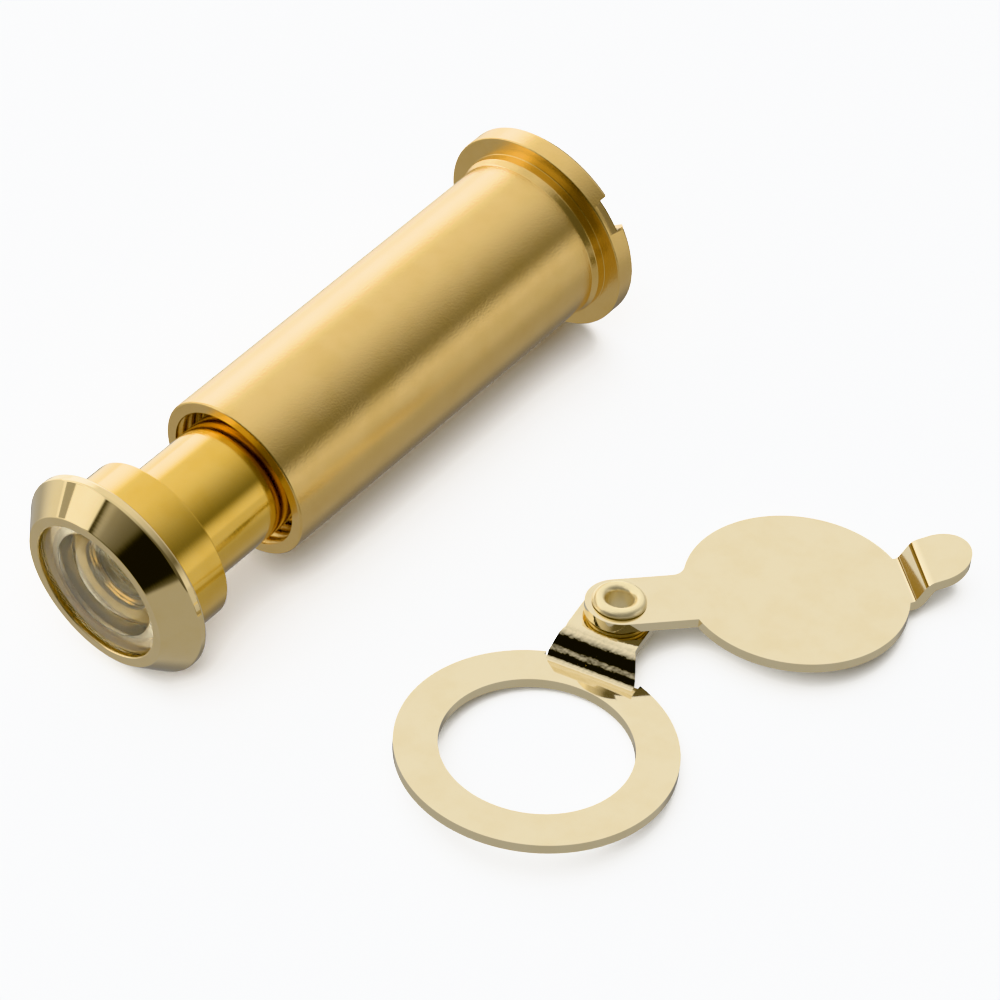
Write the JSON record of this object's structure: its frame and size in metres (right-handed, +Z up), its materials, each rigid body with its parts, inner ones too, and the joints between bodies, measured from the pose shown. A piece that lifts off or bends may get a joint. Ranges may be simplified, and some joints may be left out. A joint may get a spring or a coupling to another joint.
{
  "type": "door viewer",
  "caption": "Adjustable brass door viewer: a lensed barrel that screws into a flanged sleeve, and a loose eyepiece ring with a riveted swing cover.",
  "frame": {"origin": "bottom centre of the whole layout, on the surface that both pieces lie on", "axes": "+X along the barrel from its bezel to its flange, +Z up from the surface, +Y from the loose cover towards the barrel"},
  "size_m": [0.0526, 0.0539, 0.0176],
  "materials": {
    "sleeve_brass": "satin turned brass",
    "barrel_brass": "mirror-polished bezel, turned brass neck and collar",
    "inner_brass": "plain turned brass",
    "cover_brass": "polished pale brass sheet",
    "rivet_brass": "polished brass",
    "glass": "clear optical glass",
    "rubber": "matt black"
  },
  "bodies": {
    "sleeve": {"rear_sleeve": "sleeve_brass"},
    "lens_stack": {"objective_lens": "glass", "lens_seal": "rubber", "second_lens": "glass", "spacer_ring": "inner_brass", "third_lens": "glass", "spacer_tube": "inner_brass", "eyepiece_lens": "glass", "lens_lock_ring": "inner_brass"},
    "barrel": {"front_barrel": "barrel_brass"},
    "cover": {"cover_ring": "cover_brass", "cover_rivet": "rivet_brass", "rivet_washer": "rivet_brass"},
    "flap": {"swing_cover": "cover_brass"}
  },
  "joints": [
    {"name": "barrel_advance", "type": "slide", "parent": "sleeve", "child": "lens_stack", "axis": [-1, 0, 0], "range_m": [-0.00791, 0.00801]},
    {"name": "barrel_screw", "type": "hinge", "parent": "lens_stack", "child": "barrel", "pos_m": [0, 0.0182, 0.00878], "axis": [-1, 0, 0], "range_deg": [-2844, 2880]},
    {"name": "cover_lift", "type": "slide", "parent": "sleeve", "child": "cover", "axis": [0, 0, 1], "range_m": [0, 0.06]},
    {"name": "cover_swing", "type": "hinge", "parent": "cover", "child": "flap", "pos_m": [0.0022, -0.00917, 0.00296], "axis": [0.167, 0.0444, 0.985], "range_deg": [-180, 0]}
  ],
  "couplings": [
    {"joint": "barrel_advance", "follows": "barrel_screw", "m_per_rad": 0.00015915}
  ]
}
